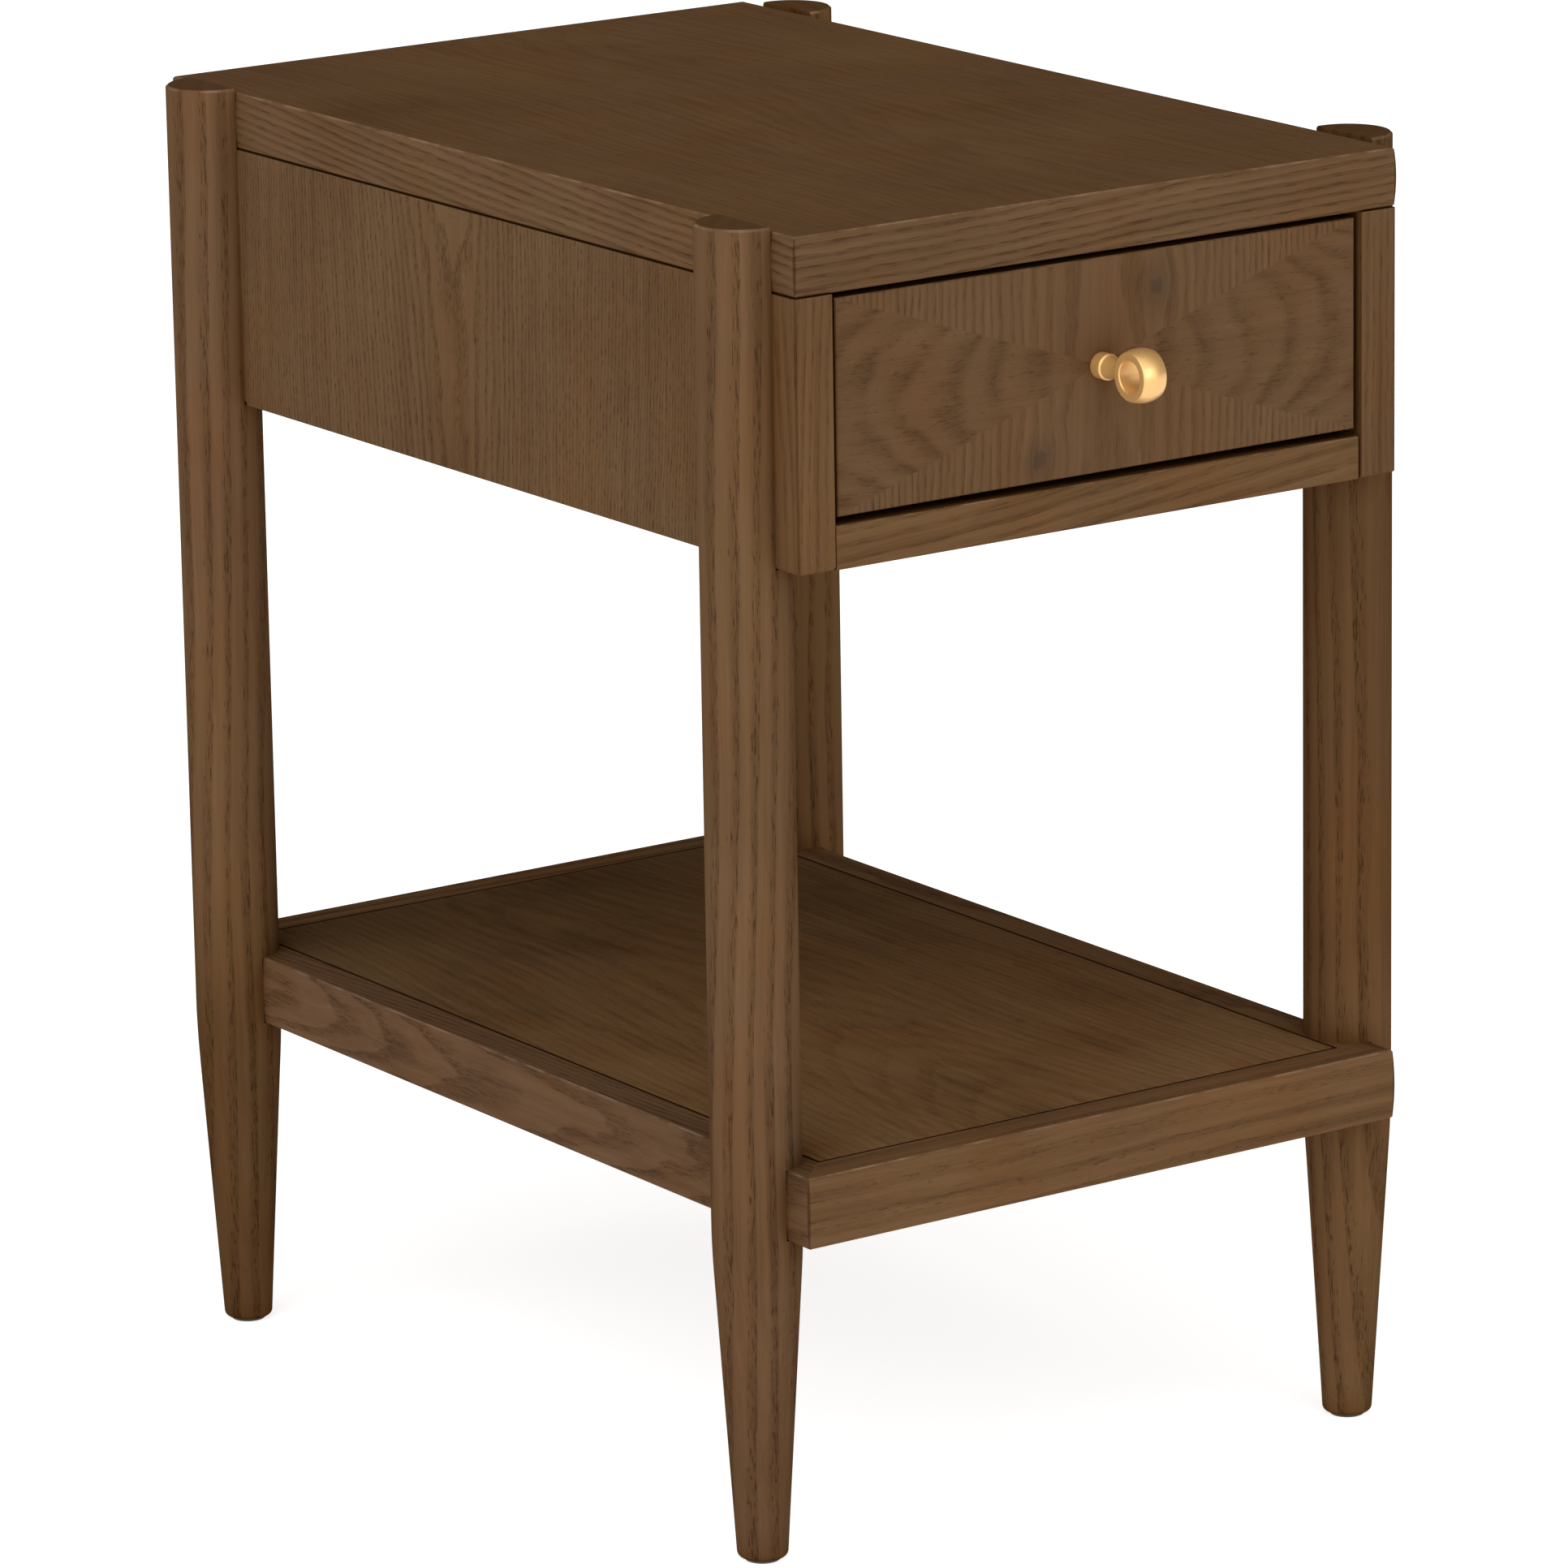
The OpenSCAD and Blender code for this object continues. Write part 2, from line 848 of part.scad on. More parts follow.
// barrel-shaped ring with a finger hole, as a section of radius against length
module ring_profile() {
    barrel = 1.2;   // radius lost from the middle to each end
    bevel = 0.35;   // at the outer rim of each end
    lip = 0.5;   // at each mouth of the finger hole
    steps = 12;
    l = ring_l / 2;
    outer = [for (i = [0:steps])
        let (u = 2 * i / steps - 1)
        [ring_r - barrel * u * u, u * (l - bevel)]];
    polygon(concat([[ring_hole_r, -l + lip], [ring_hole_r + lip, -l], [ring_r - barrel - bevel, -l]], outer,
        [[ring_r - barrel - bevel, l], [ring_hole_r + lip, l], [ring_hole_r, l - lip]]));
}

module stem_profile() {
    foot_l = 6.6;
    foot_bevel = 0.7;
    neck_r = knob_foot_r * 0.74;
    stem_l = ring_out - ring_hole_r - 1.5;
    steps = 8;
    waist = [for (i = [0:steps])
        let (t = i / steps)
        [neck_r + 0.9 * pow(2 * t - 1, 2), foot_l + foot_bevel + (stem_l - foot_l - foot_bevel) * t]];
    polygon(concat([[0, 0], [knob_foot_r - 0.3, 0], [knob_foot_r, 0.3], [knob_foot_r, foot_l],
        [knob_foot_r - foot_bevel, foot_l + foot_bevel]], waist, [[0, stem_l]]));
}

module knob() {
    color(brass)
        difference() {
            union() {
                translate([0, veneer_y, knob_z])
                    rotate([90, 0, 0])
                        rotate_extrude($fn = fine)
                            stem_profile();
                translate([0, veneer_y - ring_out, knob_z])
                    rotate([0, 90, 0])
                        rotate_extrude($fn = fine)
                            ring_profile();
            }
            knob_screw_solid();
        }
}

// ---- the nodes ----

tabletop_panel();
tabletop_veneer();
top_edging(0);  // tabletop_edge_front
top_edging(1);  // tabletop_edge_right
top_edging(2);  // tabletop_edge_back
top_edging(3);  // tabletop_edge_left
leg(LEFT, FRONT);  // leg_front_left
leg(RIGHT, FRONT);  // leg_front_right
leg(LEFT, BACK);  // leg_back_left
leg(RIGHT, BACK);  // leg_back_right
leg_glides();
post(LEFT, FRONT);  // post_front_left
post(RIGHT, FRONT);  // post_front_right
post(LEFT, BACK);  // post_back_left
post(RIGHT, BACK);  // post_back_right
side_panel(LEFT);  // side_panel_left
side_panel(RIGHT);  // side_panel_right
back_panel();
drawer_rail();
top_rail(top_rail_y0);  // top_rail_front
top_rail(top_rail_y1);  // top_rail_back
top_cleat(LEFT);  // top_cleat_left
top_cleat(RIGHT);  // top_cleat_right
case_bottom();
slide_spacer(LEFT);  // slide_spacer_left
slide_spacer(RIGHT);  // slide_spacer_right
slide_case(LEFT);  // slide_case_left
slide_case(RIGHT);  // slide_case_right
shelf_rail(0);  // shelf_rail_front
shelf_rail(1);  // shelf_rail_right
shelf_rail(2);  // shelf_rail_back
shelf_rail(3);  // shelf_rail_left
shelf_panel();
leg_bolts();
tabletop_screws();
case_dowels();
slide_case_screws();
slide_middle(LEFT);  // slide_middle_left
slide_middle(RIGHT);  // slide_middle_right
ball_cage_outer(LEFT);  // ball_cage_outer_left
ball_cage_outer(RIGHT);  // ball_cage_outer_right
ball_cage_inner(LEFT);  // ball_cage_inner_left
ball_cage_inner(RIGHT);  // ball_cage_inner_right
drawer_front();
drawer_front_veneer();
drawer_box_front();
drawer_side(LEFT);  // drawer_side_left
drawer_side(RIGHT);  // drawer_side_right
drawer_back();
drawer_bottom();
knob();
knob_screw();
drawer_front_screws();
slide_drawer(LEFT);  // slide_drawer_left
slide_drawer(RIGHT);  // slide_drawer_right
slide_drawer_screws();
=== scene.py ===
"""Looks, light and camera for a side table of stained oak with one drawer and a lower shelf."""
import json
from math import cos, pi, radians, sin

import bpy
from mathutils import Matrix, Vector


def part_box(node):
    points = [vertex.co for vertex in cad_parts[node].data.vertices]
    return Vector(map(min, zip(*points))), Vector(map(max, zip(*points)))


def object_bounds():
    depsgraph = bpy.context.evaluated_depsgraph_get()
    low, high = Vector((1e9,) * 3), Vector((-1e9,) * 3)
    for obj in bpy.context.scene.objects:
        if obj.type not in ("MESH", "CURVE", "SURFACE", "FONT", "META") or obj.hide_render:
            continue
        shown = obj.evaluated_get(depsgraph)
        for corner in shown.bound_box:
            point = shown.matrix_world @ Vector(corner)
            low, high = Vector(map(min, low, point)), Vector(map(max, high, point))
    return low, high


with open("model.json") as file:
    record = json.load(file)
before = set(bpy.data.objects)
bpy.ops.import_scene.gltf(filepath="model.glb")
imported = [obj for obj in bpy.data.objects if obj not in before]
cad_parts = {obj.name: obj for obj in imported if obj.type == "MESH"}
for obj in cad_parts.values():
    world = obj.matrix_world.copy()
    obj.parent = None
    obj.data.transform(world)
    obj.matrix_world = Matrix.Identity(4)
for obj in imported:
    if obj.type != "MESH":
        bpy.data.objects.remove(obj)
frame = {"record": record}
cad_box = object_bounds()

MM = 0.001
TABLE_HEIGHT = cad_box[1][2]

# ---- camera and light, in metres, degrees and watts ----

CAMERA_PLACE = (-2.4370, -3.5049, 1.4238)
CAMERA_HEADING = 34.694      # turned from +Y towards +X
CAMERA_PITCH = -14.622
CAMERA_ROLL = -0.928
CAMERA_LENS = 202.67         # mm
CAMERA_SENSOR = 36           # mm wide
CAMERA_SEES_TO = 100.0

FLOOR_SIDE = 40.0
FLOOR_GLOW = 0.80            # the floor's own light, as of a table lit from below
FLOOR_GREY = 0.60
BACKDROP_GLOW = 1.0
ROOM_GLOW = 0.08             # strength of the surroundings away from the light
BANK_GLOW = 1.6              # strength of the broad bank of light
BANK_TOWARD = (40, 29)       # where it stands: turned from -Y towards -X, height above the horizon
BANK_EDGE = (0.10, 0.90)     # cosine of the angle from its middle, where it starts and is full

# name: (turned from -Y towards -X, height above the horizon, distance, side, watts, lights dull surfaces too)
SOFTBOXES = {
    "key_softbox": (62, 40, 3.2, 1.2, 6, True),
    "glint_softbox": (-12, 20, 2.5, 1.3, 12, False),
}

# ---- colours, as linear red, green and blue ----

STAIN = {
    "dark": (0.070, 0.0375, 0.0172),
    "mid": (0.120, 0.0638, 0.0290),
    "light": (0.157, 0.0868, 0.0420),
    "pore": (0.047, 0.0210, 0.0082),
    # lightest colour, for upper edges: partly wear, partly a painted highlight
    "wear_and_highlight": (0.260, 0.165, 0.095),
}
PAINTED_CORNER_SHADE = (0.74, 0.60, 0.38)     # painted shade, multiplied in near a corner
PAINTED_GAP_SHADE = (0.22, 0.20, 0.18)     # painted shade, multiplied in again in a narrow gap
SEAM_DARK = (0.58, 0.53, 0.48)
GROOVE_DARK = (0.30, 0.26, 0.23)
OLIVE_TINT = (0.86, 0.93, 0.80)
RUDDY_TINT = (1.02, 0.94, 0.85)
CLEAR_OAK = {
    "dark": (0.330, 0.210, 0.110),
    "mid": (0.430, 0.290, 0.160),
    "light": (0.520, 0.370, 0.220),
    "pore": (0.210, 0.120, 0.055),
    # lightest colour, for upper edges: partly wear, partly a painted highlight
    "wear_and_highlight": (0.560, 0.420, 0.270),
}
KNOT_COLOUR = (0.048, 0.033, 0.023)
BLOT_COLOUR = (0.055, 0.033, 0.016)
BRASS = (0.850, 0.500, 0.180)
BRASS_SHADE = (0.76, 0.42, 0.13)
BRASS_METALLIC = 0.55        # under lacquer, so part of its colour is in any light
# painted shade, multiplied in the knob's hollows
BRASS_PAINTED_SHADE = (0.55, 0.33, 0.16)
ZINC_DULL = (0.44, 0.45, 0.46)
ZINC = (0.560, 0.565, 0.570)
ZINC_BRIGHT = (0.66, 0.665, 0.66)
GLIDE_DARK = (0.020, 0.017, 0.014)
GLIDE_SCUFFED = (0.055, 0.048, 0.042)
END_GRAIN = (0.55, 0.52, 0.45)
NO_SHADE = (1.0, 1.0, 1.0)

# ---- sizes of the marks of stain and wear, of the painted highlight on edges and of painted shade ----

SEAM_REACH = 0.6 * MM
GROOVE_MIDDLE = 7.7 * MM     # in from the end of the shelf panel's hidden tongue
GROOVE_HALF = 0.7 * MM
GROOVE_FADE = 0.35 * MM
ARRIS_RADIUS = 0.8 * MM
# Reaches of the painted shade: in the wood's corners and gaps, and in the knob's hollows
PAINTED_SHADE_REACH = 23 * MM
BRASS_PAINTED_SHADE_REACH = 4 * MM
BRASS_EASING = 0.9 * MM      # rounds the turned rims of the knob in the light
GRAIN_RELIEF = 0.12 * MM

# ---- noises: repeats in a metre across, across and along the grain, or along x, y and z ----

SLOW_BENDS = (7, 7, 2.6)
QUICK_BENDS = (90, 90, 30)
FIBRES = (1700, 1700, 16)
STREAKS = (210, 210, 4.5)
PATCHES = (11, 11, 11)
RUDDY_PATCHES = (16, 16, 9)
BLOTS = (34, 26, 34)
RUBS = (60, 60, 60)
JOINT_RAGS = (300, 300, 300)
KNOT_RAGS = (170, 170, 90)
ARCH_BENDS = (26, 26, 30)
ARCH_GAPS = (30, 30, 60)
RING_LINES = (9000, 120, 120)
STEM_LINES = (120, 9000, 120)
BRASS_CLOUDS = (260, 260, 260)
ROLLING_LINES = (2500, 18, 2500)
HANDLING_MARKS = (60, 25, 60)
PLASTIC_PITS = (2400, 2400, 2400)
PLASTIC_SCUFFS = (160, 160, 160)

# ---- steps: the values where it starts and ends, and what it gives at each if not 0 and 1 ----

PORE_EDGE = (-0.01, 0.11)                    # on either side of the wood's pore limit
END_STEP = (0.65, 0.95)                      # how squarely a face cuts the grain
OLIVE_STEP = (0.50, 0.72)
RUDDY_STEP = (0.42, 0.64, 0.0, 0.7)
BLOT_STEP = (0.60, 0.72)
ARRIS_STARTS = (0.38, 0.62)                  # how far upwards a rounded edge faces, for the wear and painted highlight on upper edges
ARRIS_ENDS = (0.95, 0.82)
RUB_STEP = (0.38, 0.66, 0.02, 0.60)
CORNER_SHADE_STEP = (0.93, 0.40, 0.0, 0.90)        # how open a place is to its surroundings, for the painted shade in corners and, below, in gaps
GAP_SHADE_STEP = (0.34, 0.12, 0.0, 0.60)

# ---- shares and roughness of the wood ----

END_PLAINNESS = 0.75         # how far the figure fades on end grain
END_DARKNESS = 0.45
FIBRE_SHARE = 0.6            # contrast of the fibres beside that of the streaks
WOOD_ROUGHNESS = 0.56        # of plain wood; pores and patches add to it
PORE_ROUGHNESS = 0.22
PATCH_ROUGHNESS = 0.12


class Graph:
    """A material and short ways to add nodes to it."""

    def __init__(self, name):
        self.material = bpy.data.materials.new(name)
        self.material.use_nodes = True
        self.tree = self.material.node_tree
        self.shader = next(n for n in self.tree.nodes if n.type == "BSDF_PRINCIPLED")

    def put(self, socket, value):
        if isinstance(value, bpy.types.NodeSocket):
            self.tree.links.new(value, socket)
        else:
            socket.default_value = value

    def add(self, kind, inputs, **settings):
        node = self.tree.nodes.new(kind)
        for key, value in settings.items():
            setattr(node, key, value)
        for key, value in inputs.items():
            self.put(node.inputs[key], value)
        return node

    def math(self, operation, a, b=0.0):
        return self.add("ShaderNodeMath", {0: a, 1: b}, operation=operation).outputs[0]

    def vector(self, operation, a, b=(0, 0, 0)):
        return self.add("ShaderNodeVectorMath", {0: a, 1: b}, operation=operation).outputs[0]

    def length(self, a):
        return self.add("ShaderNodeVectorMath", {0: a}, operation="LENGTH").outputs["Value"]

    def dot(self, a, b):
        return self.add("ShaderNodeVectorMath", {0: a, 1: b}, operation="DOT_PRODUCT").outputs["Value"]

    def noise(self, place, repeats, detail=1.0, roughness=0.5, colour=False):
        """Noise from 0 to 1, about 0.5, with this many repeats in a metre each way."""
        stretched = self.vector("MULTIPLY", place, repeats)
        inputs = {"Vector": stretched, "Scale": 1.0, "Detail": detail, "Roughness": roughness}
        return self.add("ShaderNodeTexNoise", inputs).outputs["Color" if colour else "Fac"]

    def swing(self, value, amount):
        """Takes a noise to either side of 0 and scales it."""
        return self.math("MULTIPLY", self.math("SUBTRACT", value, 0.5), amount)

    def wander(self, place, repeats, reach):
        """An offset across the grain of about reach, which changes over the place."""
        noise = self.noise(place, repeats, colour=True)
        centred = self.vector("SUBTRACT", noise, (0.5, 0.5, 0.5))
        return self.vector("MULTIPLY", centred, (4 * reach, 4 * reach, 0))

    def step(self, value, low, high, out_low=0.0, out_high=1.0):
        """A smooth step from out_low to out_high as value goes from low to high."""
        inputs = {"Value": value, "From Min": low, "From Max": high, "To Min": out_low, "To Max": out_high}
        return self.add("ShaderNodeMapRange", inputs, interpolation_type="SMOOTHSTEP").outputs[0]

    def ramp(self, value, stops):
        node = self.add("ShaderNodeValToRGB", {0: value})
        elements = node.color_ramp.elements
        while len(elements) < len(stops):
            elements.new(0.5)
        for element, (position, colour) in zip(elements, stops):
            element.position = position
            element.color = (*colour, 1) if isinstance(colour, tuple) else (colour, colour, colour, 1)
        return node.outputs["Color"]

    def mix(self, amount, a, b, blend="MIX"):
        node = self.tree.nodes.new("ShaderNodeMix")
        node.data_type = "RGBA"
        node.blend_type = blend
        for index, value in ((0, amount), (6, a), (7, b)):
            self.put(node.inputs[index], (*value, 1) if isinstance(value, tuple) else value)
        return node.outputs[2]

    def combine(self, x, y, z):
        return self.add("ShaderNodeCombineXYZ", {0: x, 1: y, 2: z}).outputs[0]

    def split(self, vector):
        return self.add("ShaderNodeSeparateXYZ", {0: vector}).outputs[:]

    def place(self):
        """Position in the table's own frame, in metres, which stays on the piece as it moves."""
        return self.add("ShaderNodeTexCoord", {}).outputs["Object"]


# ---- wood ----

# Through one year's growth: open early wood first, then plain late wood
EARLY_WOOD = ((0.0, 0.85), (0.08, 1.0), (0.34, 0.72), (0.52, 0.12), (0.80, 0.0), (0.96, 0.10), (1.0, 0.85))
# Which table directions run across, across and along the grain
GRAIN_ORDER = {"x": (2, 1, 0), "y": (0, 2, 1), "z": (0, 1, 2)}
GRAIN_AXIS = {"x": (1, 0, 0), "y": (0, 1, 0), "z": (0, 0, 1)}

SOLID = {
    "pith": (30 * MM, 22 * MM),      # from the middle of the piece to the heart of the tree
    "ring": 9.5 * MM,                # width of a year's growth
    "cone": 0.012,                   # how fast the rings widen along the grain
    "slant": (0.0, 0.0),             # how far the grain runs out of line, in the two directions across it
    "sway": 5.0 * MM,                # slow bends of the rings
    "wave": 0.4 * MM,                # quick ones
    "pore": (0.70 * MM, 8.0 * MM),   # spacing of the pores across and along the grain
    "pore_limit": 0.622,             # lower gives more pores
    "pore_bands": 0.22,              # how strongly pores keep to the start of each ring
    "pore_depth": 0.76,              # how dark they are
    "bands": 0.30,                   # contrast of the rings
    "streaks": 0.75,                 # contrast of the streaks along the grain
    "mottle": 0.55,                  # contrast of the large soft patches
    "olive": 0.35,                   # how far those patches turn greener
    "blots": 0.0,                    # strength of scattered dark blots
    "tone": 0.50,                    # overall, from dark to light
    "shade": NO_SHADE,               # multiplies the colour
    "by_height": (),                 # heights above the floor, each with a shade for the colour there, partly painted shade
    "seams": False,                  # stain gathers along the upright corners of the case and shelf
    "groove": False,                 # and in the groove round the shelf panel
    "painted_shade_by_depth": (),                  # painted shade: shares of the way from front to back, each with a shade
}
EDGING = {**SOLID, "ring": 4.4 * MM, "wave": 0.55 * MM, "pore": (0.65 * MM, 13.0 * MM), "pore_limit": 0.612,
          "pore_bands": 0.24, "pore_depth": 0.54, "streaks": 0.9, "seams": True}
POST = {**SOLID, "ring": 3.4 * MM, "pore": (0.70 * MM, 9.0 * MM), "pore_limit": 0.605, "pore_bands": 0.20,
        "pore_depth": 0.38, "bands": 0.16, "seams": True}
VENEER = {
    **SOLID,
    "ring": 2.5 * MM,
    "sway": 6.0 * MM,
    "wave": 0.6 * MM,
    "pore": (0.68 * MM, 4.6 * MM),
    "pore_limit": 0.585,
    "pore_bands": 0.20,
    "pore_depth": 0.64,
    "bands": 0.18,
    "streaks": 0.75,
    "mottle": 0.80,
}


def grain_place(g, place, grain, middle, slant):
    """Place measured from the piece's middle, as across, across and along the grain."""
    parts = g.split(g.vector("SUBTRACT", place, middle))
    a, b, along = (parts[i] for i in GRAIN_ORDER[grain])
    a = g.math("ADD", a, g.math("MULTIPLY", along, slant[0]))
    b = g.math("ADD", b, g.math("MULTIPLY", along, slant[1]))
    return g.combine(a, b, along)


def figure(g, place, wood, crowding=None):
    """Tone and pores at a place given across, across and along the grain; crowding adds pores."""
    bend = g.wander(place, SLOW_BENDS, wood["sway"])
    wave = g.wander(place, QUICK_BENDS, wood["wave"])
    bent = g.vector("ADD", place, g.vector("ADD", bend, wave))

    heart = g.vector("MULTIPLY", g.vector("SUBTRACT", bent, (*wood["pith"], 0)), (1, 1, 0))
    cone = g.math("MULTIPLY", g.split(place)[2], wood["cone"])
    phase = g.math("DIVIDE", g.math("ADD", g.length(heart), cone), wood["ring"])
    early = g.ramp(g.math("FRACT", phase), EARLY_WOOD)

    wide, long = wood["pore"]
    spots = g.noise(bent, (1 / wide, 1 / wide, 1 / long), detail=1.5, roughness=0.6)
    crowd = g.swing(early, wood["pore_bands"])
    if crowding is not None:
        crowd = g.math("ADD", crowd, crowding)
    pores = g.step(g.math("ADD", spots, crowd), *(wood["pore_limit"] + side for side in PORE_EDGE))

    fibres = g.noise(bent, FIBRES)
    streaks = g.noise(bent, STREAKS, detail=2.0, roughness=0.6)
    tone = g.math("MULTIPLY", g.math("SUBTRACT", 0.5, early), wood["bands"])
    tone = g.math("ADD", tone, g.swing(streaks, wood["streaks"]))
    tone = g.math("ADD", tone, g.swing(fibres, FIBRE_SHARE * wood["streaks"]))
    return tone, pores


def inside(g, place, node):
    """How far a place lies inside the sides of a node seen from above, along x and along y."""
    low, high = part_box(node)
    middle = (Vector(low) + Vector(high)) / 2
    return [g.math("SUBTRACT", side - centre, g.math("ABSOLUTE", g.math("SUBTRACT", value, centre)))
            for value, centre, side in zip(g.split(place)[:2], middle, high)]


def corner_seam(g, place):
    """How close a place is to one of the four upright corners of the case, 1 on the corner itself."""
    return g.step(g.math("MAXIMUM", *inside(g, place, "tabletop_veneer")), SEAM_REACH, 0.3 * SEAM_REACH)


def groove_line(g, place):
    """1 in the groove round the shelf panel, whose tongue reaches on under the frame."""
    from_middle = g.math("SUBTRACT", g.math("MINIMUM", *inside(g, place, "shelf_panel")), GROOVE_MIDDLE)
    return g.step(g.math("ABSOLUTE", from_middle), GROOVE_HALF + GROOVE_FADE, GROOVE_HALF)


def finish_wood(g, colours, wood, tone, pores, grain, place, knots=None):
    """Colour, roughness and relief from the figure, with wear and a painted highlight on upper edges, and
    painted shade in corners and gaps.
    """
    facing = g.add("ShaderNodeTexCoord", {}).outputs["Normal"]
    end = g.step(g.math("ABSOLUTE", g.dot(facing, GRAIN_AXIS[grain])), *END_STEP)
    plain = g.math("SUBTRACT", 1.0, g.math("MULTIPLY", end, END_PLAINNESS))
    pores = g.math("MULTIPLY", pores, plain)
    tone = g.math("MULTIPLY", tone, plain)
    patches = g.noise(place, PATCHES, detail=2.0)
    tone = g.math("ADD", g.math("ADD", tone, wood["tone"]), g.swing(patches, wood["mottle"]))
    stops = ((0.0, colours["dark"]), (0.5, colours["mid"]), (1.0, colours["light"]))
    colour = g.ramp(tone, stops)
    olive = g.math("MULTIPLY", g.step(patches, *OLIVE_STEP), wood["olive"])
    colour = g.mix(olive, colour, OLIVE_TINT, "MULTIPLY")
    ruddy = g.noise(place, RUDDY_PATCHES, detail=3.0)
    colour = g.mix(g.step(ruddy, *RUDDY_STEP), colour, RUDDY_TINT, "MULTIPLY")
    colour = g.mix(g.math("MULTIPLY", pores, wood["pore_depth"]), colour, colours["pore"])
    if knots is not None:
        colour = g.mix(knots, colour, KNOT_COLOUR)
    if wood["blots"]:
        blots = g.noise(place, BLOTS, detail=4.0, roughness=0.65)
        colour = g.mix(g.step(blots, *BLOT_STEP, 0.0, wood["blots"]), colour, BLOT_COLOUR)

    # Upper edges lighter, broken up by rubbing: partly wear, partly a painted highlight where the light
    # catches them
    rise = g.split(g.add("ShaderNodeBevel", {"Radius": ARRIS_RADIUS}, samples=6).outputs[0])[2]
    arris = g.math("MULTIPLY", g.step(rise, *ARRIS_STARTS), g.step(rise, *ARRIS_ENDS))
    rubbed = g.noise(place, RUBS, detail=3.0)
    wear_and_highlight = g.math("MULTIPLY", arris, g.step(rubbed, *RUB_STEP))
    colour = g.mix(wear_and_highlight, colour, colours["wear_and_highlight"])
    # Painted shade: darker where neighbours are close, in corners, and darker again in narrow gaps
    occlusion_for_painted_shade = g.add("ShaderNodeAmbientOcclusion", {"Distance": PAINTED_SHADE_REACH}, samples=4).outputs["AO"]
    colour = g.mix(g.step(occlusion_for_painted_shade, *CORNER_SHADE_STEP), colour, PAINTED_CORNER_SHADE, "MULTIPLY")
    colour = g.mix(g.step(occlusion_for_painted_shade, *GAP_SHADE_STEP), colour, PAINTED_GAP_SHADE, "MULTIPLY")

    colour = g.mix(g.math("MULTIPLY", end, END_DARKNESS), colour, END_GRAIN, "MULTIPLY")
    if wood["shade"] != NO_SHADE:
        colour = g.mix(1.0, colour, wood["shade"], "MULTIPLY")
    if wood["seams"]:
        colour = g.mix(corner_seam(g, place), colour, SEAM_DARK, "MULTIPLY")
    if wood["groove"]:
        colour = g.mix(groove_line(g, place), colour, GROOVE_DARK, "MULTIPLY")
    # Painted shade, darker towards the back
    if wood["painted_shade_by_depth"]:
        front, back = cad_box[0][1], cad_box[1][1]
        level = g.math("DIVIDE", g.math("SUBTRACT", g.split(place)[1], front), back - front)
        colour = g.mix(1.0, colour, g.ramp(level, wood["painted_shade_by_depth"]), "MULTIPLY")
    # Shades by height, partly painted shade
    if wood["by_height"]:
        stops = [(height / TABLE_HEIGHT, shade) for height, shade in wood["by_height"]]
        level = g.math("DIVIDE", g.split(place)[2], TABLE_HEIGHT)
        colour = g.mix(1.0, colour, g.ramp(level, stops), "MULTIPLY")

    rough = g.math("ADD", g.math("MULTIPLY", pores, PORE_ROUGHNESS),
                   g.math("MULTIPLY", patches, PATCH_ROUGHNESS))
    height = g.math("SUBTRACT", g.math("MULTIPLY", tone, 0.15), pores)
    bump = g.add("ShaderNodeBump", {"Strength": 0.35, "Distance": GRAIN_RELIEF, "Height": height})
    g.put(g.shader.inputs["Base Color"], colour)
    g.put(g.shader.inputs["Roughness"], g.math("ADD", rough, WOOD_ROUGHNESS))
    g.put(g.shader.inputs["Normal"], bump.outputs[0])
    g.shader.inputs["Specular IOR Level"].default_value = 0.0
    return g.material


def wood_material(name, node, grain, colours, wood):
    g = Graph(name)
    low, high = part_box(node)
    middle = tuple((Vector(low) + Vector(high)) / 2)
    place = g.place()
    aligned = grain_place(g, place, grain, middle, wood["slant"])
    tone, pores = figure(g, aligned, wood)
    return finish_wood(g, colours, wood, tone, pores, grain, place)


# Depth of the heart below a flat-sawn face: the figure opens into arches over it
FLAT = 60 * MM
PANEL_SHADE = (0.94, 0.98, 1.07)

# Darker towards the feet
LEG_SHADES = ((0.0, (0.73, 0.73, 0.80)), (0.10, (0.85, 0.86, 0.94)), (0.22, (0.94, 0.97, 1.06)),
              (0.45, (0.97, 0.99, 1.03)))

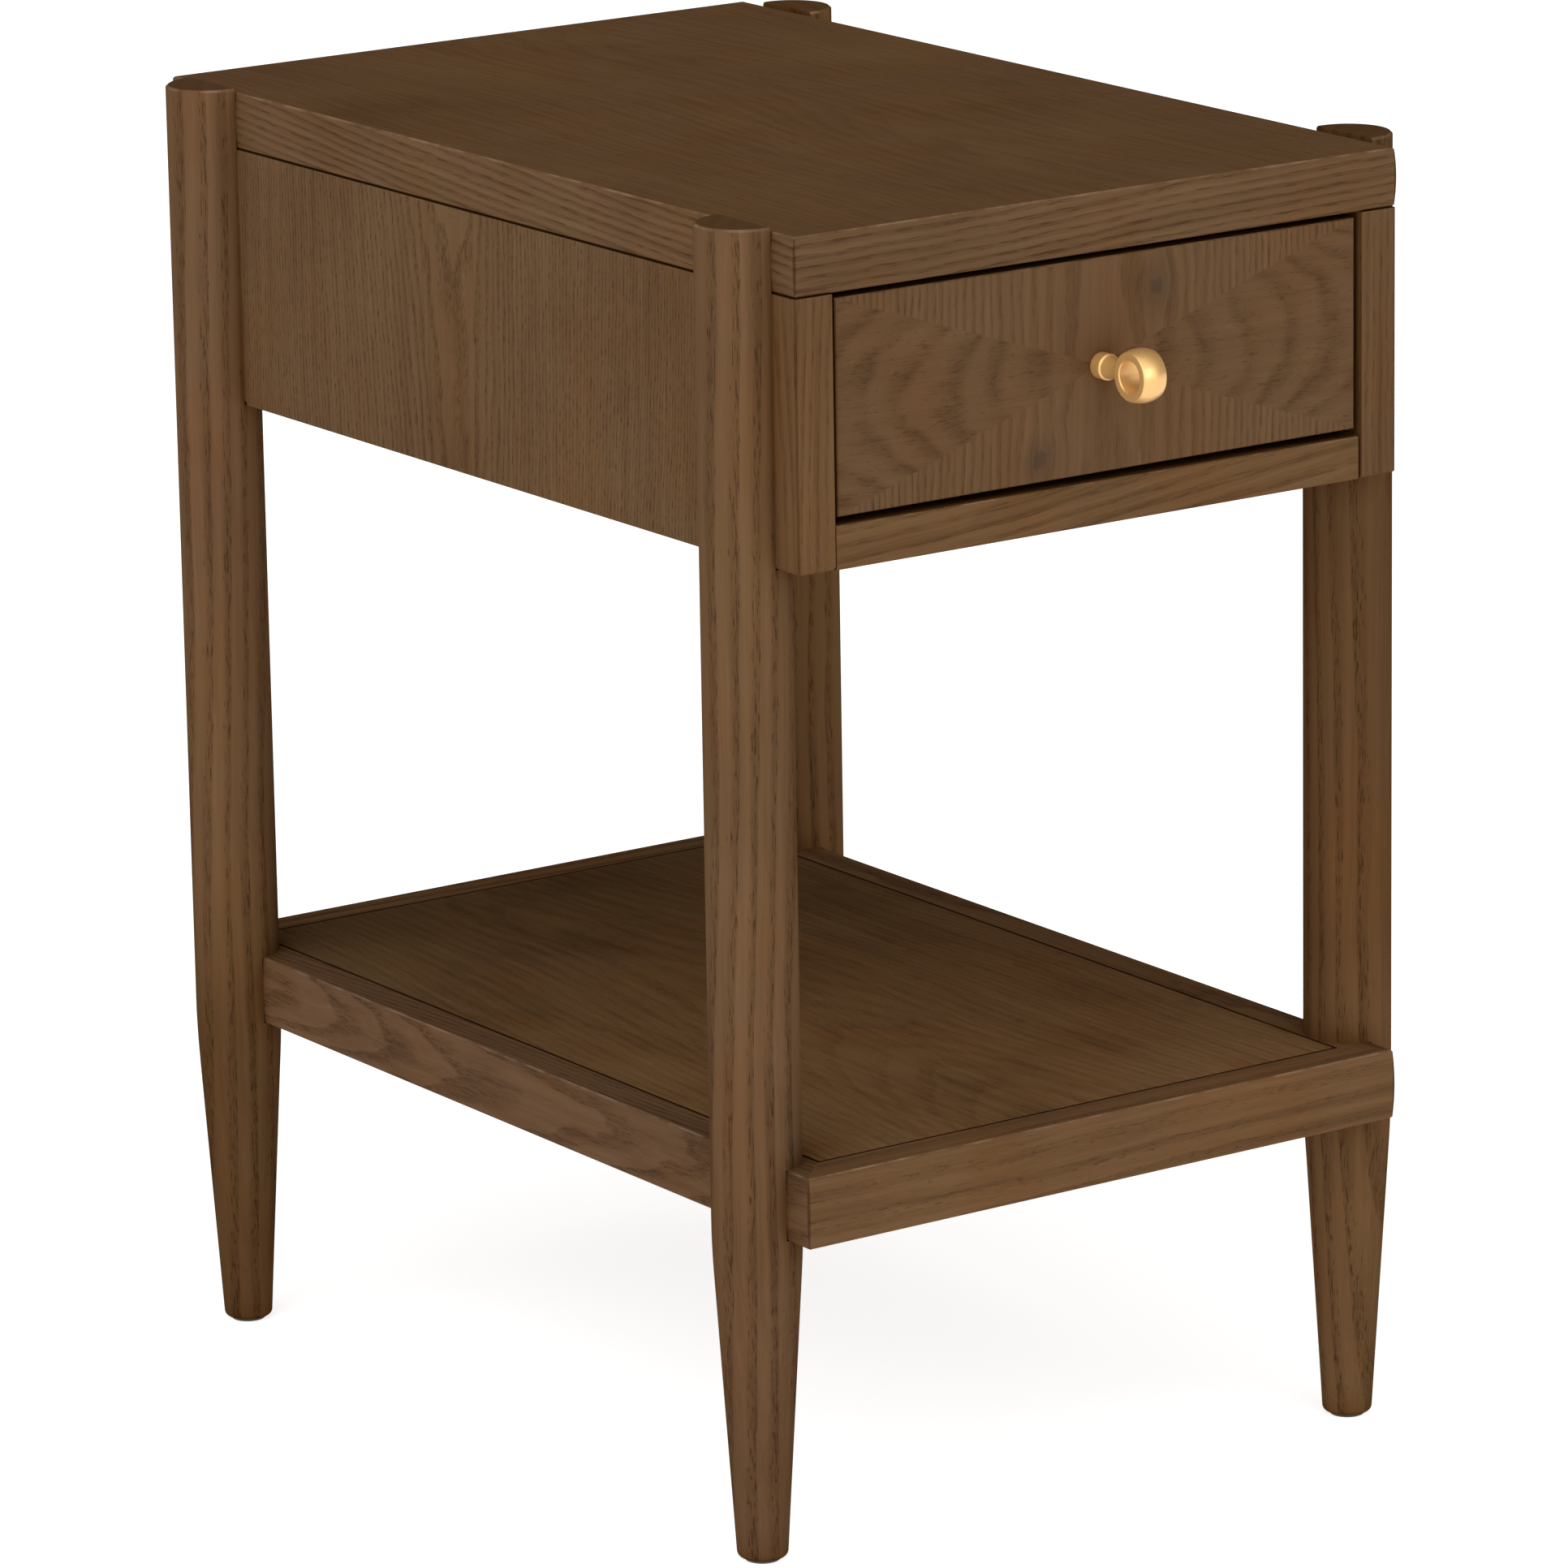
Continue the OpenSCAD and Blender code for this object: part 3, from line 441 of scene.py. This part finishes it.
PLANKS = {
    "tabletop_veneer": ("y", {
        **VENEER, "pith": (30 * MM, -FLAT), "ring": 5 * MM, "cone": 0.05, "sway": 16 * MM,
        "pore_depth": 0.14, "bands": 0.05, "streaks": 0.55, "mottle": 0.6, "olive": 0.3, "blots": 0.20,
        "shade": (1.04, 1.06, 1.08)}),
    "tabletop_edge_front": ("x", {**EDGING, "pith": (52 * MM, 14 * MM), "slant": (-0.02, 0.0),
                                  "shade": (0.93, 0.96, 1.03)}),
    "tabletop_edge_back": ("x", {**EDGING, "pith": (52 * MM, -14 * MM), "slant": (0.03, 0.0)}),
    "tabletop_edge_left": ("y", {**EDGING, "pith": (10 * MM, 60 * MM), "slant": (0.0, -0.07),
                                 "shade": (0.95, 0.98, 1.08)}),
    "tabletop_edge_right": ("y", {**EDGING, "pith": (-10 * MM, 60 * MM), "slant": (0.0, 0.05)}),
    "leg_front_left": ("z", {**SOLID, "pith": (44 * MM, -40 * MM), "by_height": LEG_SHADES}),
    # Darker between the shelf and the case: painted shadow of the case
    "leg_front_right": ("z", {**SOLID, "pith": (-30 * MM, 54 * MM), "cone": 0.02, "by_height": (
        (0.0, (0.84, 0.82, 0.78)), (0.15, (0.96, 0.93, 0.88)), (0.21, (0.94, 0.90, 0.84)),
        (0.25, (0.80, 0.74, 0.67)), (0.45, (0.73, 0.68, 0.63)), (0.52, (0.88, 0.86, 0.84)))}),
    "leg_back_left": ("z", {**SOLID, "pith": (46 * MM, -34 * MM), "by_height": (
        (0.0, (0.60, 0.56, 0.50)), (0.16, (0.67, 0.63, 0.56)), (0.24, (0.94, 0.93, 0.92)),
        (0.45, (0.98, 0.99, 1.08)))}),
    "leg_back_right": ("z", {**SOLID, "pith": (-54 * MM, 12 * MM), "shade": (1.04, 0.96, 0.84),
                             "by_height": LEG_SHADES}),
    "post_front_left": ("z", {**POST, "pith": (60 * MM, 20 * MM)}),
    "post_front_right": ("z", {**POST, "pith": (-60 * MM, 14 * MM), "shade": (0.89, 0.90, 0.93)}),
    "post_back_left": ("z", {**POST, "pith": (50 * MM, -30 * MM), "ring": 5 * MM}),
    "post_back_right": ("z", {**POST, "pith": (-55 * MM, -12 * MM), "ring": 5 * MM}),
    "side_panel_left": ("z", {**VENEER, "pith": (FLAT, 22 * MM), "cone": -0.045, "shade": PANEL_SHADE}),
    "side_panel_right": ("z", {**VENEER, "pith": (-FLAT, -50 * MM), "cone": 0.045, "shade": PANEL_SHADE}),
    "back_panel": ("z", {**VENEER, "pith": (-70 * MM, -FLAT), "cone": 0.045, "shade": PANEL_SHADE}),
    "drawer_rail": ("x", {**EDGING, "pith": (-54 * MM, 16 * MM), "ring": 6 * MM, "slant": (-0.10, 0.0),
                          "pore_depth": 0.40, "bands": 0.20, "shade": (1.04, 1.05, 1.04)}),
    "shelf_rail_front": ("x", {**EDGING, "groove": True, "pith": (40 * MM, 26 * MM), "ring": 9 * MM,
                               "pore": (0.7 * MM, 6 * MM), "pore_bands": 0.12, "pore_depth": 0.45,
                               "bands": 0.15, "shade": (1.05, 1.05, 1.06)}),
    "shelf_rail_back": ("x", {**EDGING, "groove": True, "pith": (34 * MM, -26 * MM), "ring": 9 * MM}),
    "shelf_rail_left": ("y", {**EDGING, "groove": True, "pith": (34 * MM, 4 * MM), "ring": 3.6 * MM,
                              "slant": (0.07, 0.0), "shade": (0.88, 0.90, 1.04)}),
    "shelf_rail_right": ("y", {**EDGING, "groove": True, "pith": (-14 * MM, -62 * MM), "ring": 6 * MM}),
    # The shelf panel darkens towards the back: painted shade from the case above it
    "shelf_panel": ("y", {
        **VENEER, "pith": (-20 * MM, -FLAT), "ring": 5 * MM, "cone": 0.08, "sway": 12 * MM,
        "pore_depth": 0.24, "bands": 0.09, "streaks": 0.9, "mottle": 1.0, "olive": 0.35, "blots": 0.35,
        "groove": True, "shade": (1.31, 1.33, 1.28),
        "painted_shade_by_depth": ((0.12, (1.0, 1.0, 1.0)), (0.45, (0.88, 0.89, 0.89)), (0.95, (0.58, 0.61, 0.64)))}),
    "drawer_front": ("x", {**SOLID, "pith": (-50 * MM, 30 * MM), "ring": 4 * MM, "pore_depth": 0.5}),
}


# ---- drawer face: four triangles of veneer that meet at the knob ----

ARCH_STEP = 27 * MM       # between one arch of figure and the next
ARCH_BEND = 24.0          # how fast the arches curve back towards the middle
ARCH_SWAY = 30 * MM       # how far they wander
# Through one arch: how far its pores crowd and darken it
ARCH_BAND = ((0.0, 0.0), (0.25, 1.0), (0.50, 0.55), (0.70, 0.05), (1.0, 0.0))
ARCH_BREAKS = (0.30, 0.62, 0.35, 1.0)
ARCH_CROWDING = 0.12
ARCH_SPARENESS = 0.03     # fewer pores between the arches
ARCH_DARKNESS = -0.34
JOINT_RAGGEDNESS = 0.02   # of the joints between triangles, as a share of half the face
JOINT_STEP = (-0.012, 0.012)
TALL_PORES_STEP = (0.15, 0.80, 0.45, 1.1)    # fewer above and below the knob than near the ends

# Place from the middle, and radius
KNOTS = (((33 * MM, 34 * MM), 8 * MM), ((-36 * MM, -41.5 * MM), 7 * MM))
KNOT_SQUASH = 0.8         # makes the knots taller than they are wide
# Where each starts and ends, in radii from the knot's middle
KNOT_CORE = (0.75, 0.25)
KNOT_HALO = (2.1, 0.5)
KNOT_BEND = (3.2, 0.4)
CORE_DARKNESS = 0.62
HALO_DARKNESS = 0.30
BEND_AMOUNT = -0.5        # turns the lines of figure round the knot


def drawer_face_material():
    g = Graph("oak_drawer_face")
    low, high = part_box("drawer_front_veneer")
    middle = tuple((Vector(low) + Vector(high)) / 2)
    half_w, half_h = (high[0] - low[0]) / 2, (high[2] - low[2]) / 2
    place = g.place()
    x, depth, z = g.split(g.vector("SUBTRACT", place, middle))

    jitter = g.swing(g.noise(place, JOINT_RAGS), JOINT_RAGGEDNESS)
    across = g.math("DIVIDE", g.math("ABSOLUTE", x), half_w)
    upward = g.math("DIVIDE", g.math("ABSOLUTE", z), half_h)
    upright = g.step(g.math("ADD", g.math("SUBTRACT", upward, across), jitter), *JOINT_STEP)

    knots = None
    push = x
    for (knot_x, knot_z), radius in KNOTS:
        away_z = g.math("MULTIPLY", g.math("SUBTRACT", z, knot_z), KNOT_SQUASH)
        away = g.combine(g.math("SUBTRACT", x, knot_x), 0.0, away_z)
        ragged = g.noise(place, KNOT_RAGS, detail=2.0)
        distance = g.math("ADD", g.length(away), g.swing(ragged, radius))
        core = g.step(distance, *(share * radius for share in KNOT_CORE), 0.0, CORE_DARKNESS)
        halo = g.step(distance, *(share * radius for share in KNOT_HALO), 0.0, HALO_DARKNESS)
        dark = g.math("MAXIMUM", core, halo)
        knots = dark if knots is None else g.math("MAXIMUM", knots, dark)
        near = g.step(g.length(away), *(share * radius for share in KNOT_BEND))
        aside = g.math("MULTIPLY", g.split(away)[0], near)
        push = g.math("ADD", push, g.math("MULTIPLY", aside, BEND_AMOUNT))

    # upright triangles: fine lines from top to bottom
    upright_wood = {**VENEER, "pith": (0.0, -90 * MM), "ring": 3.0 * MM, "sway": 5 * MM, "cone": 0.0,
                    "pore": (0.75 * MM, 9 * MM), "bands": 0.24, "streaks": 0.65}
    tall_tone, tall_pores = figure(g, g.combine(push, depth, z), upright_wood)
    tall_pores = g.math("MULTIPLY", tall_pores, g.step(across, *TALL_PORES_STEP))
    # side triangles: broad arches round the knob, full of short level pores
    slow = g.noise(place, ARCH_BENDS, detail=2.0)
    arch = g.math("ADD", g.math("ABSOLUTE", x), g.math("MULTIPLY", g.math("MULTIPLY", z, z), ARCH_BEND))
    arch = g.math("ADD", arch, g.swing(slow, ARCH_SWAY))
    phase = g.math("FRACT", g.math("DIVIDE", arch, ARCH_STEP))
    band = g.ramp(phase, ARCH_BAND)
    broken = g.step(g.noise(place, ARCH_GAPS, detail=2.0), *ARCH_BREAKS)
    band = g.math("MULTIPLY", band, broken)
    level_wood = {**VENEER, "pith": (0.0, -60 * MM), "ring": 60 * MM, "sway": 3 * MM, "cone": 0.0,
                  "pore": (0.75 * MM, 5.5 * MM), "pore_limit": 0.60, "pore_bands": 0.0, "bands": 0.0,
                  "streaks": 0.5}
    crowding = g.math("SUBTRACT", g.math("MULTIPLY", band, ARCH_CROWDING), ARCH_SPARENESS)
    wide_tone, wide_pores = figure(g, g.combine(z, depth, x), level_wood, crowding)
    wide_tone = g.math("ADD", wide_tone, g.math("MULTIPLY", band, ARCH_DARKNESS))

    tone = g.math("ADD", g.math("MULTIPLY", tall_tone, upright),
                  g.math("MULTIPLY", wide_tone, g.math("SUBTRACT", 1.0, upright)))
    pores = g.math("ADD", g.math("MULTIPLY", tall_pores, upright),
                   g.math("MULTIPLY", wide_pores, g.math("SUBTRACT", 1.0, upright)))
    wood = {**level_wood, "pore_depth": 0.42, "tone": 0.60, "mottle": 0.35, "olive": 0.20,
            "shade": (0.90, 0.92, 0.98)}
    return finish_wood(g, STAIN, wood, tone, pores, "x", place, knots)


# ---- metal and plastic ----

RING_DIAMETER = 26 * MM       # of the knob, from its front to where its stem starts


def brass_material():
    """Satin brass with the fine lines of turning: round the ring, and round the stem."""
    g = Graph("satin_brass")
    place = g.place()
    x, y, z = g.split(place)
    stem_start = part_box("knob")[0][1] + RING_DIAMETER
    on_stem = g.step(y, stem_start - 0.5 * MM, stem_start + 0.5 * MM)
    ring_lines = g.noise(place, RING_LINES, detail=2.0)
    stem_lines = g.noise(place, STEM_LINES, detail=2.0)
    lines = g.add("ShaderNodeMix", {0: on_stem, 2: ring_lines, 3: stem_lines}).outputs[0]
    clouds = g.noise(place, BRASS_CLOUDS, detail=3.0)
    colour = g.mix(g.step(clouds, 0.35, 0.75, 0.0, 0.35), BRASS, BRASS_SHADE)
    # Painted shade in the knob's hollows, where ambient occlusion finds neighbours close
    occlusion_for_painted_shade = g.add("ShaderNodeAmbientOcclusion", {"Distance": BRASS_PAINTED_SHADE_REACH}, samples=4).outputs["AO"]
    colour = g.mix(g.step(occlusion_for_painted_shade, 0.8, 0.2, 0.0, 0.6), colour, BRASS_PAINTED_SHADE, "MULTIPLY")
    rough = g.math("ADD", g.math("MULTIPLY", lines, 0.14), g.math("MULTIPLY", clouds, 0.10))
    eased = g.add("ShaderNodeBevel", {"Radius": BRASS_EASING}, samples=6).outputs[0]
    relief = {"Strength": 0.25, "Distance": 0.02 * MM, "Height": lines, "Normal": eased}
    bump = g.add("ShaderNodeBump", relief)
    g.put(g.shader.inputs["Base Color"], colour)
    g.put(g.shader.inputs["Roughness"], g.math("ADD", rough, 0.24))
    g.put(g.shader.inputs["Normal"], bump.outputs[0])
    g.shader.inputs["Metallic"].default_value = BRASS_METALLIC
    g.shader.inputs["Coat Weight"].default_value = 0.5
    g.shader.inputs["Coat Roughness"].default_value = 0.28
    return g.material


def zinc_material():
    """Zinc-plated steel: faint crystals, rolling lines along the slides, dull handling marks."""
    g = Graph("zinc_plate")
    place = g.place()
    crystals = g.add("ShaderNodeTexVoronoi", {"Vector": place, "Scale": 260.0}).outputs["Color"]
    grey = g.split(crystals)[0]
    lines = g.noise(place, ROLLING_LINES, detail=2.0)
    marks = g.noise(place, HANDLING_MARKS, detail=3.0)
    tone = g.math("ADD", g.math("MULTIPLY", grey, 0.35), g.math("MULTIPLY", marks, 0.65))
    colour = g.ramp(tone, ((0.2, ZINC_DULL), (0.5, ZINC), (0.8, ZINC_BRIGHT)))
    rough = g.math("ADD", g.math("MULTIPLY", lines, 0.15), g.math("MULTIPLY", marks, 0.25))
    bump = g.add("ShaderNodeBump", {"Strength": 0.2, "Distance": 0.03 * MM, "Height": lines})
    g.put(g.shader.inputs["Base Color"], colour)
    g.put(g.shader.inputs["Roughness"], g.math("ADD", rough, 0.15))
    g.put(g.shader.inputs["Normal"], bump.outputs[0])
    g.shader.inputs["Metallic"].default_value = 1.0
    return g.material


def glide_material():
    """Dark moulded plastic with a fine matt texture and scuffed rims."""
    g = Graph("glide_plastic")
    place = g.place()
    pits = g.noise(place, PLASTIC_PITS, detail=2.0)
    scuffs = g.noise(place, PLASTIC_SCUFFS, detail=3.0)
    colour = g.ramp(scuffs, ((0.35, GLIDE_DARK), (0.7, GLIDE_SCUFFED)))
    bump = g.add("ShaderNodeBump", {"Strength": 0.4, "Distance": 0.05 * MM, "Height": pits})
    g.put(g.shader.inputs["Base Color"], colour)
    g.put(g.shader.inputs["Roughness"], g.math("ADD", g.math("MULTIPLY", scuffs, 0.3), 0.45))
    g.put(g.shader.inputs["Normal"], bump.outputs[0])
    return g.material


def give(node, material):
    """Puts a material on every slot of a CAD node."""
    for slot in bpy.data.objects[node].material_slots:
        slot.material = material


def dress_table():
    for node, (grain, wood) in PLANKS.items():
        give(node, wood_material(f"oak_{node}", node, grain, STAIN, wood))
    give("drawer_front_veneer", drawer_face_material())

    hidden = {**SOLID, "olive": 0.0, "pore_depth": 0.5, "mottle": 0.4}
    board = {**VENEER, "olive": 0.0, "pore_depth": 0.45, "mottle": 0.4, "pith": (10 * MM, -40 * MM),
             "ring": 5 * MM}
    inner = {
        "x": ("top_rail_front", "top_rail_back", "drawer_box_front", "drawer_back"),
        "y": ("top_cleat_left", "top_cleat_right", "slide_spacer_left", "slide_spacer_right",
              "drawer_side_left", "drawer_side_right", "case_dowels"),
    }
    for grain, nodes in inner.items():
        for node in nodes:
            give(node, wood_material(f"clear_oak_{node}", node, grain, CLEAR_OAK, hidden))
    for node in ("tabletop_panel", "case_bottom", "drawer_bottom"):
        give(node, wood_material(f"board_{node}", node, "y", CLEAR_OAK, board))

    zinc = zinc_material()
    for part in frame["record"]["subparts"]:
        if part["material_slot"] == "zinc_steel":
            give(part["node"], zinc)
    give("knob", brass_material())
    give("leg_glides", glide_material())


# ---- surroundings ----


def make_floor():
    corners = [(x * FLOOR_SIDE / 2, y * FLOOR_SIDE / 2, 0) for x, y in ((-1, -1), (1, -1), (1, 1), (-1, 1))]
    mesh = bpy.data.meshes.new("floor")
    mesh.from_pydata(corners, [], [(0, 1, 2, 3)])
    floor = bpy.data.objects.new("floor", mesh)
    bpy.context.scene.collection.objects.link(floor)
    g = Graph("pale_floor")
    g.shader.inputs["Base Color"].default_value = (FLOOR_GREY, FLOOR_GREY, FLOOR_GREY, 1)
    g.shader.inputs["Roughness"].default_value = 0.9
    g.shader.inputs["Specular IOR Level"].default_value = 0.0
    g.shader.inputs["Emission Color"].default_value = (1, 1, 1, 1)
    g.shader.inputs["Emission Strength"].default_value = FLOOR_GLOW
    mesh.materials.append(g.material)


def make_world():
    world = bpy.data.worlds.new("studio")
    world.use_nodes = True
    bpy.context.scene.world = world
    tree = world.node_tree
    background = next(n for n in tree.nodes if n.type == "BACKGROUND")

    def add(node_type, **settings):
        node = tree.nodes.new(node_type)
        for key, value in settings.items():
            setattr(node, key, value)
        return node

    direction = add("ShaderNodeTexCoord")
    nearness = add("ShaderNodeVectorMath", operation="DOT_PRODUCT")
    tree.links.new(direction.outputs["Generated"], nearness.inputs[0])
    nearness.inputs[1].default_value = toward(*BANK_TOWARD)
    rise = add("ShaderNodeMapRange", interpolation_type="SMOOTHSTEP")
    tree.links.new(nearness.outputs["Value"], rise.inputs["Value"])
    for key, value in (("From Min", BANK_EDGE[0]), ("From Max", BANK_EDGE[1]),
                       ("To Min", ROOM_GLOW), ("To Max", BANK_GLOW)):
        rise.inputs[key].default_value = value
    path = add("ShaderNodeLightPath")
    seen = add("ShaderNodeMix")
    tree.links.new(path.outputs["Is Camera Ray"], seen.inputs[0])
    tree.links.new(rise.outputs[0], seen.inputs[2])
    seen.inputs[3].default_value = BACKDROP_GLOW
    tree.links.new(seen.outputs[0], background.inputs["Strength"])
    background.inputs["Color"].default_value = (1, 1, 1, 1)


def toward(turn, height):
    """Unit vector turned from -Y towards -X, and raised above the horizon."""
    return Vector((-sin(radians(turn)) * cos(radians(height)), -cos(radians(turn)) * cos(radians(height)),
                   sin(radians(height))))


def make_lights():
    low, high = cad_box
    middle = (Vector(low) + Vector(high)) / 2
    for name, (turn, height, distance, side, watts, plain) in SOFTBOXES.items():
        lamp = bpy.data.lights.new(name, "AREA")
        lamp.shape = "SQUARE"
        lamp.size = side
        lamp.energy = watts
        holder = bpy.data.objects.new(name, lamp)
        direction = toward(turn, height)
        holder.location = middle + direction * distance
        holder.rotation_mode = "QUATERNION"
        holder.rotation_quaternion = direction.to_track_quat("Z", "Y")
        holder.visible_camera = False
        holder.visible_diffuse = plain
        bpy.context.scene.collection.objects.link(holder)


def make_camera():
    data = bpy.data.cameras.new("camera")
    data.lens = CAMERA_LENS
    data.sensor_width = CAMERA_SENSOR
    data.clip_end = CAMERA_SEES_TO
    camera = bpy.data.objects.new("camera", data)
    turn = Matrix.Rotation(-radians(CAMERA_HEADING), 4, "Z")
    tilt = Matrix.Rotation(pi / 2 + radians(CAMERA_PITCH), 4, "X")
    roll = Matrix.Rotation(radians(CAMERA_ROLL), 4, "Z")
    camera.matrix_world = Matrix.Translation(CAMERA_PLACE) @ turn @ tilt @ roll
    bpy.context.scene.collection.objects.link(camera)
    bpy.context.scene.camera = camera


def set_picture():
    scene = bpy.context.scene
    scene.view_settings.view_transform = "Standard"
    scene.view_settings.look = "None"
    scene.view_settings.exposure = 0
    scene.view_settings.gamma = 1


dress_table()
make_floor()
make_world()
make_lights()
make_camera()
set_picture()
